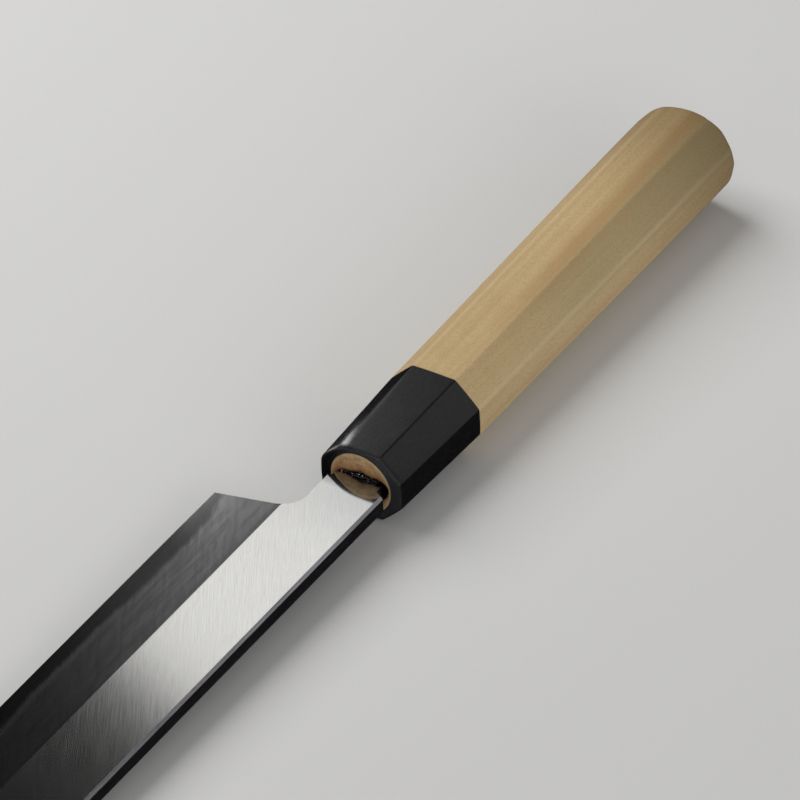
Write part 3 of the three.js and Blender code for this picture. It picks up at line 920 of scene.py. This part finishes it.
hornFinish = {
    "black": rgb(0.006, 0.0055, 0.006),
    "fibre": rgb(0.013, 0.0125, 0.012),
    "front": rgb(0.025, 0.0265, 0.029),
    "frontShadeLeft": rgb(0.003, 0.003, 0.0035),  # painted shade: the cut face is darker towards the blade's edge
    "rubbed": rgb(0.02, 0.02, 0.02),
    "roughness": (0.25, 0.29),
    "rubbedWidth": 0.3,
}


def blackHorn():
    # polished horn: faint lengthwise fibres, greyer where it is cut across at the front, with painted shade on that
    # face towards the blade's edge, rubbed on its corners
    style = hornFinish
    material, tree, shader = newMaterial("blackHorn")
    place = placeIn(tree)
    fibres = useGroup(tree, streaks, Place=place, Long=0.012, Wide=0.0004)
    dust = useGroup(tree, mottle, Place=place, Cloud=0.006, Dot=0.0005)
    front = field(tree, "atFront")
    colour = tint(tree, ease(tree, fibres["Fine"], 0.4, 0.75), style["black"], style["fibre"])
    # painted shade: the front face darkens towards the blade's edge
    cut = tint(tree, ease(tree, acrossKnife(tree), -1.0, -7.5), style["front"], style["frontShadeLeft"])
    speckled = tint(tree, dust["Dots"], cut, rgb(0.09, 0.09, 0.095))
    colour = tint(tree, front, colour, speckled)
    rubbed = useGroup(tree, rubbedEdge, Place=place, Away=field(tree, "fromCorner"), Width=style["rubbedWidth"], Patch=0.002)
    tree.links.new(tint(tree, calc(tree, "MULTIPLY", rubbed["Mask"], 0.5), colour, style["rubbed"]), shader["Base Color"])
    gloss = ease(tree, calc(tree, "ADD", fibres["Broad"], dust["Clouds"]), 0.7, 1.3, *style["roughness"])
    tree.links.new(calc(tree, "ADD", gloss, calc(tree, "MULTIPLY", front, 0.16)), shader["Roughness"])
    height = calc(tree, "ADD", fibres["Fine"], calc(tree, "MULTIPLY", front, dust["Dots"]))
    tree.links.new(bumpOf(tree, height, 4e-6), shader["Normal"])
    return material


woodFinish = {
    "tan": rgb(0.56, 0.40, 0.20),
    "pale": rgb(0.61, 0.455, 0.25),
    "olive": rgb(0.42, 0.335, 0.175),
    "streak": rgb(0.44, 0.295, 0.125),
    "fleck": rgb(0.36, 0.235, 0.10),
    "end": rgb(0.575, 0.405, 0.205),
    "buttEnd": rgb(0.62, 0.46, 0.26),
    "endDot": rgb(0.25, 0.115, 0.04),
    "endLeftScorchShade": rgb(0.38, 0.19, 0.07),  # the tenon is browner towards the blade's edge: scorching, and painted shade
    "endRightShadeChar": rgb(0.2, 0.12, 0.07),  # and darker towards its spine: painted shade, with some char
    "scorched": rgb(0.38, 0.165, 0.05),
    # the corners' light colour: wear, together with a painted highlight along the rounded edges
    "rubbed": rgb(0.70, 0.55, 0.335),
    "char": rgb(0.008, 0.006, 0.005),
    "roughness": (0.48, 0.66),
    "ring": rgb(0.42, 0.265, 0.118),
    "ringFrom": 0.0072,  # where the brown border of the heart starts and is whole, metres from the handle's axis
    "ringTo": 0.0098,
    "heartFrom": 0.0100,  # and the olive heart itself
    "heartTo": 0.0116,
    "fadeFrom": -40.0,  # both fade in along the handle, millimetres behind the ferrule's front
    "fadeTo": -85.0,
    "rubbedWidth": 1.3,
    "buttShade": rgb(0.39, 0.37, 0.325),  # painted shade: the wood is darkened towards the butt by this much, where the light falls off
    "buttShadeFrom": -88.0,
    "buttShadeTo": -168.0,
}


def paleWood():
    # sanded wood with straight grain: long streaks, short flecks, an olive heart on one side, speckled end grain,
    # light corners, rubbed and with a painted highlight, char round the mouth, and painted shade on the tenon and
    # towards the butt
    style = woodFinish
    material, tree, shader = newMaterial("paleWood", **{"Specular IOR Level": 0.35})
    place = placeIn(tree)
    axis = addNode(tree, "VectorMath", {0: place, 1: tuple(axisStart * mm)}, operation="SUBTRACT").outputs[0]
    grain = useGroup(tree, streaks, Place=place, Long=0.16, Wide=0.0016)
    flecks = useGroup(tree, streaks, Place=place, Long=0.0008, Wide=0.00022)
    clouds = useGroup(tree, mottle, Place=place, Cloud=0.014, Dot=0.0007)
    colour = tint(tree, ease(tree, grain["Broad"], 0.35, 0.68), style["tan"], style["pale"])
    heart = addNode(tree, "VectorMath", {0: axis, 1: (0.0, 0.7071, 0.7071)}, operation="DOT_PRODUCT").outputs["Value"]
    heart = calc(tree, "ADD", heart, calc(tree, "MULTIPLY", calc(tree, "SUBTRACT", grain["Broad"], 0.5), 0.004))
    fade = ease(tree, alongKnife(tree), style["fadeFrom"], style["fadeTo"], 0.25, 1.0)
    above = addNode(tree, "VectorMath", {0: axis, 1: (0.0, -1.0, 1.0)}, operation="DOT_PRODUCT").outputs["Value"]
    ring = calc(tree, "MULTIPLY", fade, ease(tree, heart, style["ringFrom"], style["ringTo"], 0.0, 0.8))
    ring = calc(tree, "MULTIPLY", ring, ease(tree, above, -0.002, 0.004))
    colour = tint(tree, ring, colour, style["ring"])
    heart = calc(tree, "MULTIPLY", fade, ease(tree, heart, style["heartFrom"], style["heartTo"], 0.0, 0.9))
    colour = tint(tree, heart, colour, style["olive"])
    colour = tint(tree, ease(tree, grain["Fine"], 0.5, 0.8, 0.0, 0.3), colour, style["streak"])
    colour = tint(tree, ease(tree, flecks["Broad"], 0.45, 0.75, 0.0, 0.5), colour, style["fleck"])
    colour = tint(tree, ease(tree, clouds["Clouds"], 0.5, 0.75, 0.0, 0.25), colour, style["streak"])
    rubbed = useGroup(tree, rubbedEdge, Place=place, Away=field(tree, "fromCorner"), Width=style["rubbedWidth"], Patch=0.003)
    end = field(tree, "endGrain")
    pores = useGroup(tree, mottle, Place=place, Cloud=0.001, Dot=0.0006)
    speckle = calc(tree, "MAXIMUM", pores["Dots"], ease(tree, pores["Clouds"], 0.42, 0.6, 0.0, 0.55))
    aside = acrossKnife(tree)
    # painted shade on the tenon's end, with scorching: darker towards the blade's edge and towards its spine
    endColour = tint(tree, ease(tree, aside, -2.0, -6.5), style["end"], style["endLeftScorchShade"])
    endColour = tint(tree, ease(tree, aside, 2.0, 6.8), endColour, style["endRightShadeChar"])
    onTenon = ease(tree, alongKnife(tree), -60.0, -40.0)
    endColour = tint(tree, onTenon, style["buttEnd"], endColour)
    speckle = calc(tree, "MULTIPLY", speckle, ease(tree, onTenon, 0.0, 1.0, 0.35, 1.0))
    endColour = tint(tree, speckle, endColour, style["endDot"])
    scorched = calc(tree, "POWER", field(tree, "charred"), 0.25)
    colour = tint(tree, end, colour, tint(tree, scorched, endColour, style["scorched"]))
    # light corners: rubbed wear together with a painted highlight
    colour = tint(tree, calc(tree, "MULTIPLY", rubbed["Mask"], 0.4), colour, style["rubbed"])
    # painted shade towards the butt, where the light falls off
    buttShade = ease(tree, alongKnife(tree), style["buttShadeFrom"], style["buttShadeTo"])
    colour = tint(tree, buttShade, colour, style["buttShade"], "MULTIPLY")
    tree.links.new(tint(tree, field(tree, "charred"), colour, style["char"]), shader["Base Color"])
    tree.links.new(ease(tree, flecks["Broad"], 0.3, 0.75, *style["roughness"]), shader["Roughness"])
    height = calc(tree, "ADD", flecks["Broad"], calc(tree, "MULTIPLY", end, pores["Dots"]))
    tree.links.new(bumpOf(tree, height, 1.2e-5), shader["Normal"])
    return material


resinFinish = {
    "black": rgb(0.006, 0.0055, 0.005),
    "brown": rgb(0.035, 0.022, 0.014),
    # light grey flecks painted into the colour as glints
    "paintedGlints": rgb(0.50, 0.50, 0.48),
    "roughness": (0.07, 0.17),
}


def charredResin():
    # burnt resin: black and shiny, with dull brown crusts, light grey flecks painted in as glints, and small lumps
    style = resinFinish
    material, tree, shader = newMaterial("charredResin")
    crust = useGroup(tree, mottle, Place=placeIn(tree), Cloud=0.0006, Dot=0.0007)
    colour = tint(tree, ease(tree, crust["Clouds"], 0.5, 0.7), style["black"], style["brown"])
    # painted glints: light grey flecks on the black
    tree.links.new(tint(tree, ease(tree, crust["Dots"], 0.2, 0.6), colour, style["paintedGlints"]), shader["Base Color"])
    tree.links.new(ease(tree, crust["Clouds"], 0.35, 0.65, *style["roughness"]), shader["Roughness"])
    lumps = calc(tree, "ADD", crust["Clouds"], calc(tree, "MULTIPLY", crust["Dots"], 0.4))
    tree.links.new(bumpOf(tree, lumps, 9e-5), shader["Normal"])
    return material


# Pieces

def faceField(mesh, name):
    # a point field's mean over each face
    values = np.empty(len(mesh.vertices), np.float32)
    corner = np.empty(len(mesh.loops), np.int32)
    first = np.empty(len(mesh.polygons), np.int32)
    mesh.attributes[name].data.foreach_get("value", values)
    mesh.loops.foreach_get("vertex_index", corner)
    mesh.polygons.foreach_get("loop_start", first)
    count = np.diff(np.append(first, len(corner)))
    return np.add.reduceat(values[corner], first) / count


def dressBlade():
    # the iron's flat, bevel and sides, and the steel's band, back and sides, told apart by normals and fields
    body, steel = bladeBody(), edgeSteel()
    sides = groundSides()
    for piece in (body, steel):
        planarUv(piece.data, shape["brushAngle"])
    up = faceNormals(body.data)[:, 2]
    bevel = faceField(body.data, "fromRidge") > shape["ridgeFlat"]
    dress(body, [satinFlat(), hazyBevel(), sides], np.where(up > 0.9, np.where(bevel, 1, 0), 2))
    up = faceNormals(steel.data)[:, 2]
    dress(steel, [steelBand(), hollowBack(), sides], np.select([up > 0.5, up < -0.5], [0, 1], 2))


dressBlade()
dress(handleWood(), [paleWood()])
dress(ferruleHorn(), [blackHorn()])
dress(tangResin(), [charredResin()])

# Stage, lights and camera

cameraView = {
    "eye": (517.51, 360.75, 514.81),
    "aim": (-28.07, -7.82, 0.0),
    "roll": -3.01,  # degrees
    "lens": 174.79,
}
stageShape = {
    "upward": (-0.0252, 0.049, 0.9985),  # the knife rests on its ferrule and its tip, so the floor leans this way
    "size": 6.0,  # metres
    "floor": rgb(0.72, 0.715, 0.70),
}


def inRow(point):
    return Vector((np.array(point) + axisStart) * mm)


def turnTo(direction, roll=0.0):
    # looks along a direction with the top upwards, then rolls about it
    turn = Vector(direction).to_track_quat("-Z", "Y").to_matrix().to_4x4()
    return turn @ Matrix.Rotation(roll, 4, "Z")


def addFloor():
    # a plain pale sheet under the knife's lowest points; what shines doesn't mirror it
    upward = Vector(stageShape["upward"]).normalized()
    lowest = min((nodePoints(node) @ np.array(upward)).min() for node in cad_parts.values())
    half = stageShape["size"] / 2
    mesh = bpy.data.meshes.new("floor")
    mesh.from_pydata([(-half, -half, 0), (half, -half, 0), (half, half, 0), (-half, half, 0)], [], [(0, 1, 2, 3)])
    mesh.transform(Matrix.Translation(upward * lowest) @ upward.to_track_quat("Z", "Y").to_matrix().to_4x4())
    floor = bpy.data.objects.new("floor", mesh)
    bpy.context.scene.collection.objects.link(floor)
    matt = {"Base Color": stageShape["floor"], "Roughness": 1.0, "Specular IOR Level": 0.0}
    dress(floor, [newMaterial("paleFloor", **matt)[0]])
    floor.visible_glossy = False


def nodePoints(node):
    points = np.empty(len(node.data.vertices) * 3, np.float32)
    node.data.vertices.foreach_get("co", points)
    return points.reshape(-1, 3)


def addPanel(name, target, direction, distance, size, power, roll=0.0, spread=180, colour=(1, 1, 1),
             glossy=True, diffuse=True):
    # a soft panel that looks back along a direction to its target; roll and spread are in degrees
    lamp = bpy.data.lights.new(name, "AREA")
    lamp.shape = "RECTANGLE"
    lamp.size, lamp.size_y = size
    lamp.energy = power
    lamp.color = colour
    lamp.spread = math.radians(spread)
    panel = bpy.data.objects.new(name, lamp)
    bpy.context.scene.collection.objects.link(panel)
    way = Vector(direction).normalized()
    panel.matrix_world = Matrix.Translation(inRow(target) + way * distance) @ turnTo(-way, math.radians(roll))
    panel.visible_glossy, panel.visible_diffuse = glossy, diffuse
    panel.visible_camera = False


def addCamera():
    eye, aim = inRow(cameraView["eye"]), inRow(cameraView["aim"])
    camera = bpy.data.objects.new("camera", bpy.data.cameras.new("camera"))
    bpy.context.scene.collection.objects.link(camera)
    camera.data.lens = cameraView["lens"]
    camera.data.sensor_width = 36
    camera.data.clip_start, camera.data.clip_end = 0.01, 20
    camera.matrix_world = Matrix.Translation(eye) @ turnTo(aim - eye, math.radians(cameraView["roll"]))
    bpy.context.scene.camera = camera


def addWorld(far, near, front):
    # dim all round, lighter towards the front
    world = bpy.data.worlds.new("studio")
    bpy.context.scene.world = world
    world.use_nodes = True
    tree = world.node_tree
    way = addNode(tree, "TexCoord").outputs["Generated"]
    facing = addNode(tree, "VectorMath", {0: way, 1: front}, operation="DOT_PRODUCT").outputs["Value"]
    colour = tint(tree, ease(tree, facing, 0.0, 0.9), far, near)
    tree.links.new(colour, tree.nodes["Background"].inputs["Color"])


addFloor()
addPanel("backSoftbox", (39, -1, 1.6), (-0.609, -0.458, 0.648), 0.6, (0.112, 0.24), 0.076, 42.3, diffuse=False)
addPanel("lowSoftbox", (41, -18, 0), (-0.645, -0.66, 0.388), 0.65, (0.13, 0.2), 0.0205, diffuse=False)
addPanel("lipStrip", (-1, -8, 5), (-0.3, -0.95, 0.03), 0.05, (0.03, 0.014), 0.003, diffuse=False)
addPanel("rimStrip", (0, -5, 7), (-0.63, -0.73, 0.27), 0.03, (0.0047, 0.0125), 0.00095, diffuse=False)
addPanel("rimTail", (-12, -5.5, 7.5), (-0.62, -0.72, 0.31), 0.08, (0.022, 0.03), 0.0011, diffuse=False)
addPanel("sideSoftbox", (-10, 8, 6), (-0.653, 0.615, 0.44), 0.8, (0.26, 0.4), 0.15, colour=(1.0, 0.97, 1.02))
addPanel("overheadFill", (-30, 0, 0), (-0.1, -0.62, 0.78), 1.1, (0.9, 0.9), 9.8, glossy=False)
addPanel("frontFill", (-30, 0, 0), (0.5, 0.85, 0.25), 1.8, (1.6, 0.8), 10.6, glossy=False)
addPanel("upperSoftbox", (0, 0, 0), (0.1, 0.0, 1.0), 1.0, (0.9, 0.9), 0.75, diffuse=False)
addPanel("leftSoftbox", (40, 0, 0), (0.25, -0.9, 0.35), 1.0, (1.0, 0.5), 0.63, diffuse=False)
addPanel("farSoftbox", (40, 0, 0), (-0.94, -0.02, 0.34), 1.0, (0.5, 0.5), 0.31, diffuse=False)
addCamera()
addWorld(rgb(0.01, 0.01, 0.0105), rgb(0.4, 0.4, 0.405), (0.56, 0.47, 0.68))
bpy.context.scene.view_settings.view_transform = "Standard"
print("stage, lights and camera set")
